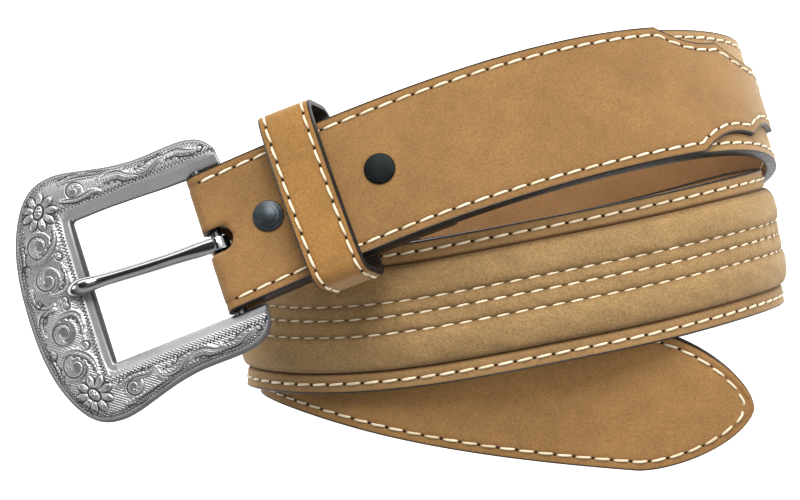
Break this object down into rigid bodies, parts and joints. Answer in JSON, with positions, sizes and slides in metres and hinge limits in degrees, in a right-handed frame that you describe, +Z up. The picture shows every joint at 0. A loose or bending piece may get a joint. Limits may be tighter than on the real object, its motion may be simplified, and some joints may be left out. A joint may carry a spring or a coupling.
{
  "type": "western belt",
  "caption": "Coiled western belt of stitched leather plies, with scalloped ends, a padded suede panel, a keeper loop, snaps and a floral engraved metal buckle.",
  "frame": {"origin": "centre of the coil's base on the surface that it lies on", "axes": "+Z up from the surface, towards the strap's front runs; +X away from the buckle along the coil; +Y towards the strap's upper edge"},
  "size_m": [0.2109, 0.1193, 0.118],
  "materials": {
    "nubuck": "matt nubuck",
    "nubuck_gold": "matt nubuck",
    "suede": "napped suede",
    "lining": "smooth",
    "silver": "polished and antiqued",
    "gunmetal": "dark satin"
  },
  "bodies": {
    "strap": {"middle_strap": "nubuck", "lining": "lining", "center_panel": "suede", "buckle_billet": "nubuck", "tip_billet": "nubuck", "keeper_loop": "nubuck_gold", "snap_cap_1": "gunmetal", "snap_cap_2": "gunmetal", "snap_back_1": "gunmetal", "snap_back_2": "gunmetal"},
    "buckle": {"buckle_frame": "silver"},
    "prong": {"buckle_prong": "silver"}
  },
  "joints": [
    {"name": "buckle_hinge", "type": "hinge", "parent": "strap", "child": "buckle", "pos_m": [-0.05056, 0.00116, 0.10069], "axis": [-0.3154, 0.9113, -0.2647], "range_deg": [-60, 35]},
    {"name": "prong_hinge", "type": "hinge", "parent": "buckle", "child": "prong", "pos_m": [-0.05056, 0.00116, 0.10069], "axis": [-0.3154, 0.9113, -0.2647], "range_deg": [0, 90]}
  ]
}
